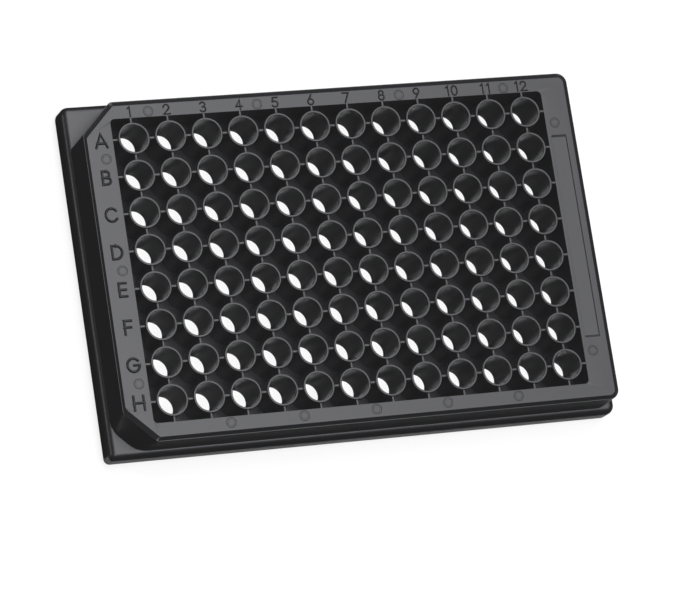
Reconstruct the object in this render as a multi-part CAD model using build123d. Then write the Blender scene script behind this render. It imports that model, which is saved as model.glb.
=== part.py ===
from build123d import *
import math
import os

# A 96-well plate: one black moulding with a skirt, a deck and 96 tubes joined by ribs, and a clear
# bottom sheet bonded under the tubes. Millimetres. The origin is at the middle of the base, +Z up,
# +X along the numbered columns and +Y towards row A.

# Overall, after the common footprint for such plates
footprint_length = 127.76
footprint_width = 85.48
plate_height = 14.4
columns = 12
rows = 8
well_spacing = 9.0

# Sloped foot, and the skirt that rises from it; insets are from the footprint
foot_height = 2.0
foot_corner_radius = 1.6
skirt_inset = 0.5
skirt_corner_radius = 1.3
skirt_inner_radius = 0.7
skirt_edge_radius = 0.6
shelf_height = 5.6

# Upper wall, from the shelf up to the lip under the deck
wall_base_inset = 1.45
wall_top_inset = 1.95
lip_inset = 2.15
lip_drop = 1.0
lip_band = 0.3
deck_inset = 3.1
edge_steps = 3
wall_base_corner_radius = 3.5
lip_corner_radius = 2.4
deck_corner_radius = 1.5

# Cut corners at the column 1 end: the leg of each cut, at the shelf and at the deck
cut_leg_a_base = 9.1
cut_leg_h_base = 6.2
cut_leg_deck = 7.3
cut_end_radius_a = 1.2
cut_end_radius_h = 2.5

# Walls
wall = 1.2
deck_thickness = 1.2
web_thickness = 1.2

# Moat round the tubes
deck_below_rims = 0.5
moat_margin = 0.5
moat_corner_radius = 1.0

# Tubes and the ribs that join them
tube_outer_radius = 3.84
well_radius = 3.25
well_depth = 11.2
rib_width = 0.6

# Label recess in the deck, past column 12
recess_width = 4.0
recess_length = 50.6
recess_depth = 0.5
recess_gap = 0.85

# Clear bottom
sheet_thickness = 0.2
sheet_margin = 0.4

# Worked out from the sizes above
half_length = footprint_length / 2
half_width = footprint_width / 2
deck_z = plate_height - deck_below_rims
lip_z = deck_z - lip_drop
well_floor_z = plate_height - well_depth
web_top_z = well_floor_z + web_thickness
moat_half_x = well_spacing * columns / 2 + moat_margin
moat_half_y = well_spacing * rows / 2 + moat_margin


def rounded_plan(half_x, half_y, radius):
    """A rectangle with four equal round corners."""
    return RectangleRounded(2 * half_x, 2 * half_y, radius)


def cut_plan(inset, leg_a, leg_h, corner_radius, end_radius_a, end_radius_h):
    """The plan of the upper body: round corners at column 12, cut ones at column 1."""
    x = half_length - inset
    y = half_width - inset
    plan = Polygon(
        (-x + leg_a, y),
        (-x, y - leg_a),
        (-x, -y + leg_h),
        (-x + leg_h, -y),
        (x, -y),
        (x, y),
        align=None,
    )
    plan = fillet(plan.vertices().filter_by(lambda v: v.X < 0 < v.Y), end_radius_a)
    plan = fillet(plan.vertices().filter_by(lambda v: v.X < 0 and v.Y < 0), end_radius_h)
    return fillet(plan.vertices().filter_by(lambda v: v.X > 0), corner_radius)


def leg_inside(leg, offset):
    """The leg of a cut corner once its plan is drawn in by offset on every side."""
    return leg - offset * (2 - math.sqrt(2))


def wall_base_plan(offset=0.0):
    return cut_plan(
        wall_base_inset + offset,
        leg_inside(cut_leg_a_base, offset),
        leg_inside(cut_leg_h_base, offset),
        wall_base_corner_radius - offset,
        cut_end_radius_a,
        cut_end_radius_h,
    )


def upper_plan(inset, corner_radius):
    """A plan of the lip and deck, whose cut corners stay parallel to the deck's."""
    leg = leg_inside(cut_leg_deck, inset - deck_inset)
    return cut_plan(inset, leg, leg, corner_radius, cut_end_radius_a, cut_end_radius_a)


def layer(lower, lower_z, upper, upper_z):
    return loft([Pos(0, 0, lower_z) * lower, Pos(0, 0, upper_z) * upper], ruled=True)


def base():
    """The foot and the skirt, up to the shelf."""
    foot_plan = rounded_plan(half_length, half_width, foot_corner_radius)
    skirt_plan = rounded_plan(half_length - skirt_inset, half_width - skirt_inset, skirt_corner_radius)
    skirt = extrude(skirt_plan, shelf_height)
    skirt = fillet(skirt.faces().sort_by(Axis.Z)[-1].edges(), skirt_edge_radius)
    return skirt + layer(foot_plan, 0, skirt_plan, foot_height)


def upper_body():
    """The drafted wall, its lip, and the rounded edge up to the deck."""
    body = layer(
        wall_base_plan(), shelf_height, upper_plan(wall_top_inset, lip_corner_radius), lip_z)
    band_z = lip_z + lip_band
    lip = upper_plan(lip_inset, lip_corner_radius)
    body += extrude(Pos(0, 0, lip_z) * lip, lip_band)
    lower = (lip, band_z)
    for step in range(1, edge_steps + 1):
        angle = math.radians(90 * step / edge_steps)
        inset = deck_inset - (deck_inset - lip_inset) * math.cos(angle)
        radius = deck_corner_radius + (lip_corner_radius - deck_corner_radius) * math.cos(angle)
        upper = (upper_plan(inset, radius), band_z + (deck_z - band_z) * math.sin(angle))
        body += layer(*lower, *upper)
        lower = upper
    return body


def cavity():
    """The hollow under the deck, between the outer wall and the block of tubes."""
    lower_plan = rounded_plan(
        half_length - skirt_inset - wall,
        half_width - skirt_inset - wall,
        skirt_inner_radius,
    )
    roof_z = deck_z - deck_thickness
    hollow = extrude(lower_plan, shelf_height - wall)
    hollow += layer(
        wall_base_plan(wall),
        shelf_height - wall,
        upper_plan(lip_inset + wall, lip_corner_radius - wall),
        roof_z,
    )
    block = rounded_plan(moat_half_x + wall, moat_half_y + wall, moat_corner_radius + wall)
    return hollow - extrude(Pos(0, 0, well_floor_z) * block, roof_z)


def tube_centres():
    return GridLocations(well_spacing, well_spacing, columns, rows)


def lattice():
    """The tubes, still solid, and the ribs that tie them to each other and to the deck."""
    tubes = Sketch() + [place * Circle(tube_outer_radius) for place in tube_centres()]
    ribs = Sketch() + [
        place * Rectangle(2 * moat_half_x, rib_width) for place in GridLocations(1, well_spacing, 1, rows)]
    ribs += [
        place * Rectangle(rib_width, 2 * moat_half_y) for place in GridLocations(well_spacing, 1, columns, 1)]
    lower = extrude(Pos(0, 0, web_top_z) * (tubes + ribs), deck_z - web_top_z)
    return lower + extrude(Pos(0, 0, deck_z) * tubes, plate_height - deck_z)


def wells():
    """The bores of all the tubes."""
    bores = Sketch() + [place * Circle(well_radius) for place in tube_centres()]
    return extrude(Pos(0, 0, well_floor_z) * bores, well_depth)


def plate_frame():
    body = base() + upper_body() - cavity()
    moat = rounded_plan(moat_half_x, moat_half_y, moat_corner_radius)
    body -= extrude(Pos(0, 0, web_top_z) * moat, plate_height)
    recess_x = moat_half_x + recess_gap + recess_width / 2
    body -= Pos(recess_x, 0, deck_z) * Box(
        recess_width, recess_length, 2 * recess_depth)
    body += lattice()
    return body - wells()


def clear_bottom():
    plan = rounded_plan(
        moat_half_x + wall - sheet_margin,
        moat_half_y + wall - sheet_margin,
        moat_corner_radius + wall - sheet_margin,
    )
    return extrude(Pos(0, 0, well_floor_z) * plan, -sheet_thickness)


os.makedirs("parts", exist_ok=True)
for name, make in (("plate_frame", plate_frame), ("clear_bottom", clear_bottom)):
    shape = make()
    shape.label = name
    export_step(shape, f"parts/{name}.step")
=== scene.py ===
import math

import bpy
from mathutils import Matrix, Vector
from mathutils.geometry import tessellate_polygon

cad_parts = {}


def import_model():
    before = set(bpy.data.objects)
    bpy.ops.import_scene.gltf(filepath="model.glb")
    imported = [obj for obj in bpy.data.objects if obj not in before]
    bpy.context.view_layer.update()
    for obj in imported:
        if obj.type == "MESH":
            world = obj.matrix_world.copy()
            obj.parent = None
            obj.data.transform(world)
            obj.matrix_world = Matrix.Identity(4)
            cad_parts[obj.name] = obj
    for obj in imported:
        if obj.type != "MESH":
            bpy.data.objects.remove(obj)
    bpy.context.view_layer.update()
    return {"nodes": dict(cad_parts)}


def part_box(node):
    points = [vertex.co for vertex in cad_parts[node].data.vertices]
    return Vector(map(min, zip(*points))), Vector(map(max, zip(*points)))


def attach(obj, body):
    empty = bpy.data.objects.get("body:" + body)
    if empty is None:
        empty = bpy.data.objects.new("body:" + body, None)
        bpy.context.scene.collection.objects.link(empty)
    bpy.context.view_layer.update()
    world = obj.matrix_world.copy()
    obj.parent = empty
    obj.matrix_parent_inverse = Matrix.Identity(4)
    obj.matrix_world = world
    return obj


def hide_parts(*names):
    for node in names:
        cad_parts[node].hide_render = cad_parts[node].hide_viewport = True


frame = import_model()

# Sizes are in millimetres until a mesh is made. The footprint and the height come from the frame.
MM = 0.001
low, high = (corner / MM for corner in map(Vector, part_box("plate_frame")))
HALF_LENGTH = high.x
HALF_WIDTH = high.y
HEIGHT = high.z
COLUMNS = 12
ROWS = 8
PITCH = 9.0

SKIRT_RADII = (2.2, 2.2, 2.2, 1.4)
SKIRT_EDGE = 1.9
SHELF_Z = 5.6
WALL_ROOT = 0.4
DECK_Z = HEIGHT - 0.5
LEDGE_Z = DECK_Z - 0.7
WALL = 1.2
LEDGE_ROUND = 0.03
SHELF_LAP = 0.8
SKIRT_RIM = 0.15
DECK_BEVEL = (0.05, 0.03)

# Plans of the upper body. Insets are from the footprint, with the column 1 side's and row H side's
# own. A cut is the sum of the two coordinates, taken outwards, that stays the same along its corner.
#             inset  left  front  cut A  cut H  corner end A  end H
WALL_BASE = (1.45, 1.20, 1.45, 94.70, 98.35, 3.50, 1.2, 6.3)
WALL_TOP = (1.83, 2.50, 1.96, 94.80, 94.85, 2.50, 1.2, 1.2)
SLOPE_FOOT = (2.02, 2.60, 2.09, 94.60, 94.80, 2.25, 1.2, 1.2)
DECK = (3.05, 3.08, 2.90, 93.15, 93.35, 1.50, 1.2, 1.2)

SHEET_Z = HEIGHT - 11.2
WEB_Z = SHEET_Z + 1.2
MOAT_X = PITCH * COLUMNS / 2 + 0.5
MOAT_Y = PITCH * ROWS / 2 + 0.5
MOAT_RADIUS = 1.0
MOAT_EDGE = 0.12
TUBE_OUTER = 3.84
WELL_TOP = 3.3
WELL_FLOOR = 3.15
RIM_ROUND = 0.16
RIB_WIDTH = 0.6
RIB_ROUND = 0.14
RIB_SINK = 0.02
# How far a tube goes into the web, and a rib into a tube
TUBE_ROOT = 0.2

RECESS_X = (MOAT_X + 0.85, MOAT_X + 4.85)
RECESS_HALF_Y = 25.3
RECESS_DEPTH = 0.3
RECESS_RISE = 0.05
# Inset, corner radius and share of the depth, from the deck down the edge of the recess
RECESS_EDGE = ((0.0, 0.35, 0.0), (0.04, 0.31, 0.15), (0.08, 0.27, 0.85), (0.16, 0.2, 1.0))
RECESS_GROOVE = 0.16
GROOVE_KEEL = 0.02
GROOVE_END_GAP = 0.2
GROOVE_SIDE_GAP = 0.25
# Radius and width of the two grooves of an ejector mark
MARK_RINGS = ((1.25, 0.07), (0.85, 0.04))

# A painted glow: the black plastics glow this faintly, though no lamp is there, so that this much grey
# stays even in their deepest hollows
BLACK_PAINTED_GLOW = 0.009

CORNER_POINTS = 12
TUBE_POINTS = 48
MARK_POINTS = 32
EDGE_STEPS = 3
RIM_STEPS = 4
SKIRT_STEPS = 14

# The material slots of the moulding; the rest of it has slot 0
OUTER_SLOT = 1
BORE_SLOT = 2

# Raised characters: size, place, and the stroke's width at its foot, width on top and height
NUMBER_Y = MOAT_Y + 1.62
NUMBER_SIZE = 2.3
NUMBER_STROKE = (0.48, 0.03, 0.3)
DIGIT_SPREAD = 1.6
LETTER_X = -MOAT_X - 2.95
LETTER_SIZE = 3.15
LETTER_STROKE = (0.72, 0.05, 0.38)
STROKE_SINK = 0.04
PATH_STEP_DOWN = 0.004

# The floor: its own light and its tint to the camera; its tint to other light in a strip along the skirt,
# painted light for the skirt to reflect, and elsewhere, painted shade; where that strip fades; and its
# glow after two or more reflections, a painted highlight in the wells
FLOOR_GLOW = 0.74
FLOOR_SEEN = 0.3
FLOOR_PAINTED_LIGHT = 0.6
FLOOR_PAINTED_SHADE = 0.03
FLOOR_STRIP = (1.2, 1.8)
WELL_PAINTED_HIGHLIGHT = 2.5
STUDIO_LEVEL = 0.02


class Shell:
    """Collects points and faces in millimetres and makes one Blender mesh of them."""

    def __init__(self):
        self.points = []
        self.faces = []
        self.finishes = {}

    def finish(self, start, slot):
        """Gives the faces made since start another material slot."""
        self.finishes.update((index, slot) for index in range(start, len(self.faces)))

    def loop(self, outline, z):
        start = len(self.points)
        self.points += [(x, y, z) for x, y in outline]
        return list(range(start, len(self.points)))

    def bridge(self, lower, upper):
        """Quads between two closed loops, facing outwards when upper is above lower."""
        count = len(lower)
        for i in range(count):
            j = (i + 1) % count
            self.faces.append((lower[i], lower[j], upper[j], upper[i]))

    def skin(self, outlines):
        """One band of quads after another through a list of (outline, z)."""
        loops = [self.loop(outline, z) for outline, z in outlines]
        for lower, upper in zip(loops, loops[1:]):
            self.bridge(lower, upper)
        return loops

    def flat(self, outer, holes=(), up=True):
        """Fills the plane between an outer loop and its holes."""
        rings = [list(outer)] + [list(hole) for hole in holes]
        flat_list = [index for ring in rings for index in ring]
        polygons = [[Vector(self.points[index]) for index in ring] for ring in rings]
        for triangle in tessellate_polygon(polygons):
            a, b, c = (flat_list[i] for i in triangle)
            normal = (Vector(self.points[b]) - Vector(self.points[a])).cross(
                Vector(self.points[c]) - Vector(self.points[a]))
            self.faces.append((a, b, c) if (normal.z > 0) == up else (a, c, b))

    def mesh(self, name, crease=35.0):
        data = bpy.data.meshes.new(name)
        places = [tuple(MM * value for value in point) for point in self.points]
        data.from_pydata(places, [], self.faces)
        data.validate()
        for polygon in data.polygons:
            polygon.use_smooth = True
            polygon.material_index = self.finishes.get(polygon.index, 0)
        data.set_sharp_from_angle(angle=math.radians(crease))
        piece = bpy.data.objects.new(name, data)
        bpy.context.scene.collection.objects.link(piece)
        weighted = piece.modifiers.new("weighted", "WEIGHTED_NORMAL")
        weighted.keep_sharp = True
        return piece


def arc(centre, radius, start, end, count):
    angles = [start + (end - start) * i / (count - 1) for i in range(count)]
    return [(centre[0] + radius * math.cos(a), centre[1] + radius * math.sin(a)) for a in angles]


def corner(before, point, after, radius, count):
    """The round that joins two straight sides at a corner of an outline."""
    point = Vector(point)
    to_before = (Vector(before) - point).normalized()
    to_after = (Vector(after) - point).normalized()
    half = to_before.angle(to_after) / 2
    centre = point + (to_before + to_after).normalized() * radius / math.sin(half)
    first = point + to_before * radius / math.tan(half) - centre
    last = point + to_after * radius / math.tan(half) - centre
    start = math.atan2(first.y, first.x)
    turn = math.pi - 2 * half
    return arc(centre, radius, start, start + turn, count)


def outline(points, radii, counts):
    """A closed outline, anticlockwise, with a round at each corner."""
    result = []
    for i, point in enumerate(points):
        result += corner(points[i - 1], point, points[(i + 1) % len(points)], radii[i], counts[i])
    return result


def rectangle(half_x, half_y, radius):
    points = [(half_x, -half_y), (half_x, half_y), (-half_x, half_y), (-half_x, -half_y)]
    return outline(points, [radius] * 4, [CORNER_POINTS] * 4)


def cut_outline(plan, offset=0.0):
    """Round corners past column 12 and cut ones before column 1, drawn in by offset all round."""
    inset, left_inset, front_inset, cut_a, cut_h, radius, end_a, end_h = plan
    x = HALF_LENGTH - inset - offset
    y = HALF_WIDTH - inset - offset
    left = HALF_LENGTH - left_inset - offset
    front = HALF_WIDTH - front_inset - offset
    cut_a -= offset * math.sqrt(2)
    cut_h -= offset * math.sqrt(2)
    points = [
        (x, -front), (x, y), (y - cut_a, y),
        (-left, cut_a - left), (-left, left - cut_h), (front - cut_h, -front)]
    half = CORNER_POINTS // 2
    return outline(
        points,
        [radius - offset, radius - offset, end_a, end_a, end_h, end_h],
        [CORNER_POINTS, CORNER_POINTS, half, half, half, half])


def footprint(inset):
    """The plan of the skirt, drawn in by inset: the corner by H1 is tighter than the others."""
    x = HALF_LENGTH - inset
    y = HALF_WIDTH - inset
    points = [(x, -y), (x, y), (-x, y), (-x, -y)]
    return outline(points, [max(radius - inset, 0.1) for radius in SKIRT_RADII], [CORNER_POINTS] * 4)


def quarter(steps):
    """Sines and cosines of a quarter turn, for round edges."""
    angles = [math.pi / 2 * i / steps for i in range(steps + 1)]
    return [(math.sin(angle), math.cos(angle)) for angle in angles]


def skirt_outlines():
    """From the rim that the plate stands on, up the outside and over the round edge to the shelf."""
    stack = [
        (footprint(SKIRT_RIM - SKIRT_RIM * s), SKIRT_RIM * (1 - c)) for s, c in quarter(EDGE_STEPS)]
    stack += [
        (footprint(SKIRT_EDGE * (1 - c)), SHELF_Z - SKIRT_EDGE * (1 - s))
        for s, c in quarter(SKIRT_STEPS)]
    return stack


def wall_outlines():
    """From inside the skirt up the drafted wall, over the ledge and up the slope to the deck."""
    stack = [(cut_outline(WALL_BASE), SHELF_Z - WALL_ROOT), (cut_outline(WALL_BASE), SHELF_Z)]
    stack += [
        (cut_outline(WALL_TOP, LEDGE_ROUND * (1 - c)), LEDGE_Z - LEDGE_ROUND * (1 - s))
        for s, c in quarter(EDGE_STEPS)]
    stack.append((cut_outline(SLOPE_FOOT), LEDGE_Z))
    stack.append((cut_outline(DECK, -DECK_BEVEL[0]), DECK_Z - DECK_BEVEL[1]))
    stack.append((cut_outline(DECK), DECK_Z))
    return stack


def inner_outlines():
    """From the rim up the inside of the wall to the roof of the hollow."""
    roof_z = DECK_Z - WALL
    return [
        (footprint(WALL), SHELF_Z - WALL),
        (cut_outline(WALL_BASE, WALL), SHELF_Z - WALL),
        (cut_outline(SLOPE_FOOT, WALL), roof_z),
        (rectangle(MOAT_X + WALL, MOAT_Y + WALL, MOAT_RADIUS + WALL), roof_z),
        (rectangle(MOAT_X + WALL, MOAT_Y + WALL, MOAT_RADIUS + WALL), SHEET_Z),
    ]


def circle(x, y, radius, count):
    return [
        (x + radius * math.cos(2 * math.pi * i / count), y + radius * math.sin(2 * math.pi * i / count))
        for i in range(count)]


def marks():
    """Places of the round ejector marks on the deck."""
    left = [(-56.8, y) for y in (27.0, 0.0, -27.0)]
    top = [(x, 37.9) for x in (-45.0, -18.0, 18.0, 45.0)]
    bottom = [(x, -38.0) for x in (-36.0, -18.0, 0.0, 18.0, 36.0)]
    right = [(56.9, y) for y in (28.4, -28.6)]
    return left + top + bottom + right


def recess(shell):
    """The sunk panel for a label, with soft edges and a fine groove across each end. Its floor
    rises towards the plate's edge."""
    x0, x1 = RECESS_X
    middle = (x0 + x1) / 2
    half_x = (x1 - x0) / 2

    def ring(places, share, sink=0.0):
        """A loop at a share of the recess's depth, and sunk by a little more."""
        start = len(shell.points)
        for x, y in places:
            depth = RECESS_DEPTH - RECESS_RISE * (x + half_x) / (2 * half_x)
            shell.points.append((x + middle, y, DECK_Z - depth * share - sink))
        return list(range(start, len(shell.points)))

    loops = [
        ring(rectangle(half_x - inset, RECESS_HALF_Y - inset, radius), share)
        for inset, radius, share in reversed(RECESS_EDGE)]
    for lower, upper in zip(loops, loops[1:]):
        shell.bridge(lower, upper)
    grooves = []
    for side in (1, -1):
        y = side * (RECESS_HALF_Y - GROOVE_END_GAP - RECESS_GROOVE)
        reach = half_x - GROOVE_SIDE_GAP
        edge = ring([(-reach, y - RECESS_GROOVE), (reach, y - RECESS_GROOVE),
                     (reach, y + RECESS_GROOVE), (-reach, y + RECESS_GROOVE)], 1.0)
        keel = ring([(-reach, y - GROOVE_KEEL), (reach, y - GROOVE_KEEL),
                     (reach, y + GROOVE_KEEL), (-reach, y + GROOVE_KEEL)], 1.0, RECESS_GROOVE)
        shell.bridge(keel, edge)
        shell.flat(keel)
        grooves.append(edge)
    shell.flat(loops[0], grooves)
    return loops[-1]


def mark(shell, x, y):
    """An ejector mark: a fine groove round it and another inside; returns its outer edge."""
    outer_edge = None
    for radius, groove in MARK_RINGS:
        loops = [
            shell.loop(circle(x, y, radius - inset, MARK_POINTS), DECK_Z - depth)
            for inset, depth in ((0.0, 0.0), (groove, groove), (2 * groove, 0.0))]
        for outer, inner in zip(loops, loops[1:]):
            shell.bridge(inner, outer)
        if outer_edge is None:
            outer_edge = loops[0]
        else:
            shell.flat(inside, [loops[0]])
        inside = loops[-1]
    shell.flat(inside)
    return outer_edge


def moat(shell):
    """The wall of the moat, from the deck down to the web."""
    stack = [(rectangle(MOAT_X, MOAT_Y, MOAT_RADIUS), WEB_Z)]
    for s, c in quarter(EDGE_STEPS):
        out = MOAT_EDGE * (1 - c)
        plan = rectangle(MOAT_X + out, MOAT_Y + out, MOAT_RADIUS + out)
        stack.append((plan, DECK_Z - MOAT_EDGE + MOAT_EDGE * s))
    loops = [shell.loop(places, z) for places, z in stack]
    for lower, upper in zip(loops, loops[1:]):
        shell.bridge(upper, lower)
    return loops


def well_places():
    return [
        (PITCH * (column - (COLUMNS - 1) / 2), PITCH * ((ROWS - 1) / 2 - row))
        for row in range(ROWS) for column in range(COLUMNS)]


def web(shell, edge, z, radius, up):
    """A flat web with a round hole under each well."""
    holes = [shell.loop(circle(x, y, radius, TUBE_POINTS), z) for x, y in well_places()]
    shell.flat(edge, holes, up)


def body():
    """The moulding without its tubes and ribs: skirt, shelf, walls, deck, moat and web."""
    shell = Shell()
    skirt = shell.skin(skirt_outlines())
    outside = shell.skin(wall_outlines())
    shell.finish(0, OUTER_SLOT)
    shell.flat(skirt[-1], [shell.loop(cut_outline(WALL_BASE, SHELF_LAP), SHELF_Z)])
    inside = shell.skin(inner_outlines())
    rim_inside = shell.loop(footprint(WALL), 0.0)
    shell.bridge(inside[0], rim_inside)
    shell.bridge(rim_inside, skirt[0])
    walls = moat(shell)
    holes = [walls[-1], recess(shell)] + [mark(shell, x, y) for x, y in marks()]
    shell.flat(outside[-1], holes)
    web(shell, walls[0], WEB_Z, TUBE_OUTER - 0.1, True)
    web(shell, inside[-1], SHEET_Z, WELL_FLOOR, False)
    return shell


def tubes(shell):
    """96 tubes with rounded rims and tapered bores."""
    profile = [(TUBE_OUTER, WEB_Z - TUBE_ROOT)]
    profile += [
        (TUBE_OUTER - RIM_ROUND * (1 - c), HEIGHT - RIM_ROUND + RIM_ROUND * s)
        for s, c in quarter(RIM_STEPS)]
    profile += [
        (WELL_TOP + RIM_ROUND * (1 - s), HEIGHT - RIM_ROUND + RIM_ROUND * c)
        for s, c in quarter(RIM_STEPS)]
    profile.append((WELL_FLOOR, SHEET_Z))
    for x, y in well_places():
        shell.skin([(circle(x, y, radius, TUBE_POINTS), z) for radius, z in profile])
        shell.finish(len(shell.faces) - TUBE_POINTS, BORE_SLOT)


def rib(shell, start, end, along_x):
    """A rib with a rounded top; start and end are the middles of its ends."""
    half = RIB_WIDTH / 2
    top = DECK_Z - RIB_SINK
    section = [(-half, WEB_Z)]
    section += [
        (-half + RIB_ROUND * (1 - c), top - RIB_ROUND + RIB_ROUND * s) for s, c in quarter(EDGE_STEPS)]
    section += [(-across, z) for across, z in reversed(section)]
    rows = []
    for x, y in (start, end):
        first = len(shell.points)
        shell.points += [
            (x, y + across, z) if along_x else (x + across, y, z) for across, z in section]
        rows.append(list(range(first, len(shell.points))))
    for i in range(len(section) - 1):
        quad = (rows[0][i], rows[0][i + 1], rows[1][i + 1], rows[1][i])
        shell.faces.append(quad if not along_x else quad[::-1])
    shell.faces.append(tuple(rows[0]) if along_x else tuple(reversed(rows[0])))
    shell.faces.append(tuple(reversed(rows[1])) if along_x else tuple(rows[1]))


def ribs(shell):
    """Ribs from each tube to the next, and from the outer tubes to the wall of the moat."""
    seat = TUBE_OUTER - TUBE_ROOT
    reach_x = MOAT_X + MOAT_EDGE
    reach_y = MOAT_Y + MOAT_EDGE
    for x, y in well_places():
        rib(shell, (x + seat, y), (min(x + PITCH - seat, reach_x), y), True)
        rib(shell, (x, y + seat), (x, min(y + PITCH - seat, reach_y)), False)
        if x - PITCH < -MOAT_X:
            rib(shell, (-reach_x, y), (x - seat, y), True)
        if y - PITCH < -MOAT_Y:
            rib(shell, (x, -reach_y), (x, y - seat), False)


def black_plastic(name, gloss_range, grain_strength):
    """Black moulded plastic: faint mottling in the tint and sheen, a very fine moulded grain, and a faint
    painted glow.
    """
    material = bpy.data.materials.new(name)
    material.use_nodes = True
    nodes = material.node_tree.nodes
    links = material.node_tree.links
    shader = nodes["Principled BSDF"]
    shader.inputs["IOR"].default_value = 1.55
    shader.inputs["Specular Tint"].default_value = (0.95, 0.955, 1.0, 1.0)
    # Painted glow: a faint even emission that lifts the black plastic everywhere
    shader.inputs["Emission Color"].default_value = (0.96, 0.96, 1.0, 1.0)
    shader.inputs["Emission Strength"].default_value = BLACK_PAINTED_GLOW
    material.cycles.emission_sampling = "NONE"
    place = nodes.new("ShaderNodeTexCoord")

    cloud = nodes.new("ShaderNodeTexNoise")
    cloud.inputs["Scale"].default_value = 60.0
    cloud.inputs["Detail"].default_value = 3.0
    links.new(place.outputs["Object"], cloud.inputs["Vector"])
    colour = nodes.new("ShaderNodeMix")
    colour.data_type = "RGBA"
    colour.inputs["A"].default_value = (0.0105, 0.0105, 0.0115, 1.0)
    colour.inputs["B"].default_value = (0.0125, 0.0125, 0.0140, 1.0)
    links.new(cloud.outputs["Fac"], colour.inputs["Factor"])
    links.new(colour.outputs["Result"], shader.inputs["Base Color"])

    gloss = nodes.new("ShaderNodeMapRange")
    gloss.inputs["To Min"].default_value, gloss.inputs["To Max"].default_value = gloss_range
    links.new(cloud.outputs["Fac"], gloss.inputs["Value"])
    links.new(gloss.outputs["Result"], shader.inputs["Roughness"])

    grain = nodes.new("ShaderNodeTexNoise")
    grain.inputs["Scale"].default_value = 2600.0
    grain.inputs["Detail"].default_value = 2.0
    links.new(place.outputs["Object"], grain.inputs["Vector"])
    bump = nodes.new("ShaderNodeBump")
    bump.inputs["Strength"].default_value = grain_strength
    bump.inputs["Distance"].default_value = 0.00005
    links.new(grain.outputs["Fac"], bump.inputs["Height"])
    links.new(bump.outputs["Normal"], shader.inputs["Normal"])
    return material


def clear_plastic():
    """The clear glossy sheet."""
    material = bpy.data.materials.new("clear_sheet")
    material.use_nodes = True
    shader = material.node_tree.nodes["Principled BSDF"]
    shader.inputs["Base Color"].default_value = (1.0, 1.0, 1.0, 1.0)
    shader.inputs["Roughness"].default_value = 0.0
    shader.inputs["IOR"].default_value = 1.5
    shader.inputs["Transmission Weight"].default_value = 1.0
    return material


def bow(x, y, radius_x, radius_y, start, end):
    """Part of an ellipse as a list of points; angles in degrees."""
    steps = max(6, round(abs(end - start) / 12))
    angles = [math.radians(start + (end - start) * i / steps) for i in range(steps + 1)]
    return [(x + radius_x * math.cos(a), y + radius_y * math.sin(a)) for a in angles]


# Strokes of the raised characters, in a cell one unit high whose middle is (0, 0)
GLYPHS = {
    "1": [[(-0.17, 0.36), (0.0, 0.5), (0.0, -0.5)]],
    "2": [bow(0.0, 0.2, 0.29, 0.3, 170, -35) + [(-0.31, -0.5), (0.33, -0.5)]],
    "3": [bow(-0.01, 0.25, 0.26, 0.25, 150, -90), bow(-0.01, -0.24, 0.3, 0.26, 90, -150)],
    "4": [[(0.12, -0.5), (0.12, 0.5), (-0.32, -0.2), (0.3, -0.2)]],
    "5": [[(0.26, 0.5), (-0.18, 0.5), (-0.25, 0.06)] + bow(-0.01, -0.19, 0.31, 0.31, 125, -150)],
    "6": [[(0.1, 0.5), (-0.26, -0.08)], bow(0.0, -0.2, 0.3, 0.3, 0, 360)],
    "7": [[(-0.3, 0.5), (0.3, 0.5), (-0.12, -0.5)]],
    "8": [bow(0.0, 0.26, 0.24, 0.24, 0, 360), bow(0.0, -0.22, 0.29, 0.28, 0, 360)],
    "9": [[(-0.1, -0.5), (0.26, 0.08)], bow(0.0, 0.2, 0.3, 0.3, 0, 360)],
    "0": [bow(0.0, 0.0, 0.31, 0.5, 0, 360)],
    "A": [[(-0.42, -0.5), (0.0, 0.5), (0.42, -0.5)], [(-0.3, -0.22), (0.3, -0.22)]],
    "B": [
        [(-0.3, -0.5), (-0.3, 0.5), (0.02, 0.5)] + bow(0.02, 0.25, 0.22, 0.25, 90, -90),
        [(-0.3, 0.0), (0.04, 0.0)] + bow(0.04, -0.25, 0.26, 0.25, 90, -90) + [(-0.3, -0.5)]],
    "C": [bow(0.0, 0.0, 0.46, 0.5, 42, 318)],
    "D": [
        [(-0.38, -0.5), (-0.38, 0.5), (-0.1, 0.5)] + bow(-0.1, 0.0, 0.48, 0.5, 90, -90) + [(-0.38, -0.5)]],
    "E": [[(0.26, 0.5), (-0.26, 0.5), (-0.26, -0.5), (0.26, -0.5)], [(-0.26, 0.0), (0.22, 0.0)]],
    "F": [[(0.26, 0.5), (-0.26, 0.5), (-0.26, -0.5)], [(-0.26, 0.0), (0.2, 0.0)]],
    "G": [bow(0.0, 0.0, 0.47, 0.5, 42, 350) + [(0.46, -0.02), (0.08, -0.02)]],
    "H": [[(-0.38, 0.5), (-0.38, -0.5)], [(0.38, 0.5), (0.38, -0.5)], [(-0.38, 0.0), (0.38, 0.0)]],
}


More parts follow.
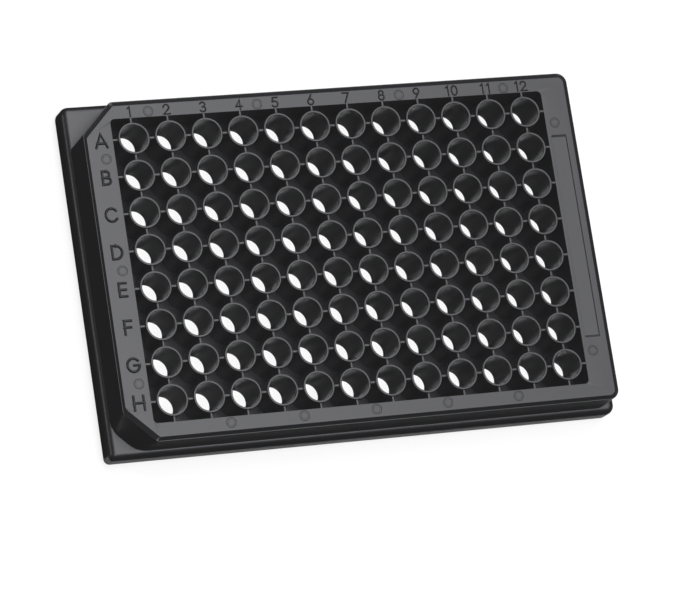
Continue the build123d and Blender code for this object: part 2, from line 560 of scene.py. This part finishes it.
def stroke(shell, path, width, flat_width, rise):
    """A raised line with sloping sides along a path of points in millimetres."""
    closed = (Vector(path[0]) - Vector(path[-1])).length < 1e-4
    points = [Vector(point) for point in (path[:-1] if closed else path)]
    if not closed:
        points[0] += (points[0] - points[1]).normalized() * (width - flat_width) / 2
        points[-1] += (points[-1] - points[-2]).normalized() * (width - flat_width) / 2
    base_z = DECK_Z - STROKE_SINK
    top_z = DECK_Z + rise
    section = [
        (-width / 2, base_z), (-flat_width / 2, top_z), (flat_width / 2, top_z), (width / 2, base_z)]
    rows = []
    count = len(points)
    for i, point in enumerate(points):
        before = points[i - 1] if closed or i else None
        after = points[(i + 1) % count] if closed or i < count - 1 else None
        sides = [
            Vector((-run.y, run.x)).normalized()
            for run in ([point - before] if before else []) + ([after - point] if after else [])]
        side = sum(sides, Vector((0.0, 0.0))).normalized()
        stretch = min(1.0 / max(side.dot(sides[0]), 0.4), 2.0)
        start = len(shell.points)
        for across, z in section:
            place = point + side * across * stretch
            shell.points.append((place.x, place.y, z))
        rows.append(list(range(start, start + 4)))
    pairs = list(zip(rows, rows[1:])) + ([(rows[-1], rows[0])] if closed else [])
    for near, far in pairs:
        for i in range(4):
            j = (i + 1) % 4
            shell.faces.append((near[i], near[j], far[j], far[i]))
    if not closed:
        shell.faces.append(tuple(reversed(rows[0])))
        shell.faces.append(tuple(rows[-1]))


def character(shell, text, x, y, size, stroke_size):
    """One raised character; each further path is a little lower, so that tops never coincide."""
    width, flat_width, rise = stroke_size
    for order, path in enumerate(GLYPHS[text]):
        scaled = [(x + size * px, y + size * py) for px, py in path]
        stroke(shell, scaled, width, flat_width, rise - PATH_STEP_DOWN * order)


def column_numbers():
    shell = Shell()
    for column in range(COLUMNS):
        x = PITCH * (column - (COLUMNS - 1) / 2)
        digits = str(column + 1)
        for i, digit in enumerate(digits):
            digit_x = x + DIGIT_SPREAD * (i - (len(digits) - 1) / 2)
            character(shell, digit, digit_x, NUMBER_Y, NUMBER_SIZE, NUMBER_STROKE)
    return shell.mesh("column_numbers", 20.0)


def row_letters():
    shell = Shell()
    for row in range(ROWS):
        y = PITCH * ((ROWS - 1) / 2 - row)
        character(shell, "ABCDEFGH"[row], LETTER_X, y, LETTER_SIZE, LETTER_STROKE)
    return shell.mesh("row_letters", 20.0)


def dress(piece, slot, *materials):
    """Gives a piece its materials and lets it ride the one body; its slot is not used."""
    piece.data.materials.clear()
    for material in materials:
        piece.data.materials.append(material)
    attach(piece, "root")


SATIN = black_plastic("black_satin", (0.30, 0.36), 0.10)
POLISHED = black_plastic("black_polished", (0.16, 0.20), 0.0)
BORE = black_plastic("black_bore", (0.02, 0.04), 0.0)
shell = body()
tubes(shell)
ribs(shell)
plate = shell.mesh("plate_moulding")
dress(plate, "black_plastic", SATIN, POLISHED, BORE)
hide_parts("plate_frame")
dress(column_numbers(), "black_plastic", SATIN)
dress(row_letters(), "black_plastic", SATIN)

sheet = frame["nodes"]["clear_bottom"]
sheet.data.materials.clear()
sheet.data.materials.append(clear_plastic())


def camera():
    data = bpy.data.cameras.new("camera")
    data.sensor_fit = "HORIZONTAL"
    data.sensor_width = 36.0
    data.lens = 210.15
    data.shift_x = -0.00076
    data.shift_y = 0.00043
    data.clip_end = 10.0
    eye = bpy.data.objects.new("camera", data)
    right = Vector((0.9394, -0.1514, 0.3075))
    up = Vector((0.0783, 0.9682, 0.2375))
    right.normalize()
    back = right.cross(up).normalized()
    up = back.cross(right)
    turn = Matrix((right, up, back)).transposed().to_4x4()
    eye.matrix_world = Matrix.Translation((-0.32435, -0.20460, 0.90261)) @ turn
    bpy.context.scene.collection.objects.link(eye)
    bpy.context.scene.camera = eye


def floor():
    """A pale floor, white to the camera and through the clear sheet, that keeps a soft shadow; to
    reflections it carries painted light and shade, and a glow that paints highlights in the wells.
    """
    half = 3.0
    data = bpy.data.meshes.new("floor")
    corners = [(-half, -half, 0), (half, -half, 0), (half, half, 0), (-half, half, 0)]
    data.from_pydata(corners, [], [(0, 1, 2, 3)])
    piece = bpy.data.objects.new("floor", data)
    bpy.context.scene.collection.objects.link(piece)
    piece.location.z = -0.0001
    material = bpy.data.materials.new("floor")
    material.use_nodes = True
    nodes = material.node_tree.nodes
    links = material.node_tree.links
    nodes.clear()

    def maths(operation, first, second):
        node = nodes.new("ShaderNodeMath")
        node.operation = operation
        for socket, value in zip(node.inputs, (first, second)):
            if isinstance(value, float):
                socket.default_value = value
            else:
                links.new(value, socket)
        return node.outputs[0]

    path = nodes.new("ShaderNodeLightPath")
    # Through the clear sheet the floor glows white; after two or more reflections it glows brighter still,
    # a painted highlight on the walls of the wells
    straight = maths("LESS_THAN", path.outputs["Glossy Depth"], 0.5)
    twice = maths("GREATER_THAN", path.outputs["Glossy Depth"], 1.5)
    painted_highlight = maths("MULTIPLY", twice, WELL_PAINTED_HIGHLIGHT)
    through = maths("MULTIPLY", path.outputs["Is Transmission Ray"], maths("ADD", straight, painted_highlight))
    seen = path.outputs["Is Camera Ray"]
    direct = maths("MULTIPLY", seen, FLOOR_GLOW)
    strength = maths("ADD", direct, through)
    place = nodes.new("ShaderNodeNewGeometry")
    split = nodes.new("ShaderNodeSeparateXYZ")
    links.new(place.outputs["Position"], split.inputs["Vector"])
    # Painted light and shade on the floor, seen only in reflections and bounced light: pale in a strip
    # along the front of the skirt, for its front face to reflect, and nearly black elsewhere
    strip = nodes.new("ShaderNodeMapRange")
    strip.inputs["From Min"].default_value = MM * FLOOR_STRIP[0]
    strip.inputs["From Max"].default_value = MM * FLOOR_STRIP[1]
    strip.inputs["To Min"].default_value = FLOOR_PAINTED_LIGHT
    strip.inputs["To Max"].default_value = FLOOR_PAINTED_SHADE
    from_front = maths("ADD", split.outputs["Y"], MM * HALF_WIDTH)
    links.new(maths("ABSOLUTE", from_front, 0.0), strip.inputs["Value"])
    painted_floor_tint = strip.outputs["Result"]
    unseen = maths("MULTIPLY", maths("SUBTRACT", 1.0, seen), painted_floor_tint)
    tint = maths("ADD", maths("MULTIPLY", seen, FLOOR_SEEN), unseen)
    out = nodes.new("ShaderNodeOutputMaterial")
    pale = nodes.new("ShaderNodeBsdfDiffuse")
    links.new(tint, pale.inputs["Color"])
    glow = nodes.new("ShaderNodeEmission")
    links.new(strength, glow.inputs["Strength"])
    both = nodes.new("ShaderNodeAddShader")
    links.new(pale.outputs[0], both.inputs[0])
    links.new(glow.outputs[0], both.inputs[1])
    links.new(both.outputs[0], out.inputs["Surface"])
    data.materials.append(material)


def flat_lamp(name, span_x, span_y, height, radiance):
    """A flat lamp over the plate, facing down, that is as bright per area as asked."""
    size_x = span_x[1] - span_x[0]
    size_y = span_y[1] - span_y[0]
    data = bpy.data.lights.new(name, "AREA")
    data.shape = "RECTANGLE"
    data.size = size_x
    data.size_y = size_y
    data.energy = radiance * math.pi * size_x * size_y
    light = bpy.data.objects.new(name, data)
    light.location = (sum(span_x) / 2, sum(span_y) / 2, height)
    bpy.context.scene.collection.objects.link(light)


def low_lamp(name, place, size, radiance):
    """A small square lamp that faces the plate from the side."""
    data = bpy.data.lights.new(name, "AREA")
    data.shape = "SQUARE"
    data.size = size
    data.energy = radiance * math.pi * size * size
    light = bpy.data.objects.new(name, data)
    light.location = place
    light.rotation_euler = Vector(place).to_track_quat("Z", "Y").to_euler()
    bpy.context.scene.collection.objects.link(light)


def world():
    """White behind the floor, and a dim studio all round."""
    scene_world = bpy.data.worlds.new("world")
    bpy.context.scene.world = scene_world
    scene_world.use_nodes = True
    nodes = scene_world.node_tree.nodes
    links = scene_world.node_tree.links
    background = nodes["Background"]
    path = nodes.new("ShaderNodeLightPath")
    level = nodes.new("ShaderNodeMapRange")
    level.inputs["To Min"].default_value = STUDIO_LEVEL
    level.inputs["To Max"].default_value = 1.0
    links.new(path.outputs["Is Camera Ray"], level.inputs["Value"])
    links.new(level.outputs["Result"], background.inputs["Strength"])
    background.inputs["Color"].default_value = (1.0, 1.0, 1.0, 1.0)


camera()
floor()
flat_lamp("edge_ceiling", (-0.45, -0.15), (-0.80, 1.8), 1.2, 1.8)
flat_lamp("near_ceiling", (-0.15, 0.44), (-0.80, 1.8), 1.2, 4.0)
flat_lamp("far_ceiling", (0.44, 1.20), (-0.80, 1.8), 1.2, 1.85)
low_lamp("low_left", (-0.92, 0.21, 0.33), 0.2, 5.0)
world()
bpy.context.scene.view_settings.view_transform = "Standard"
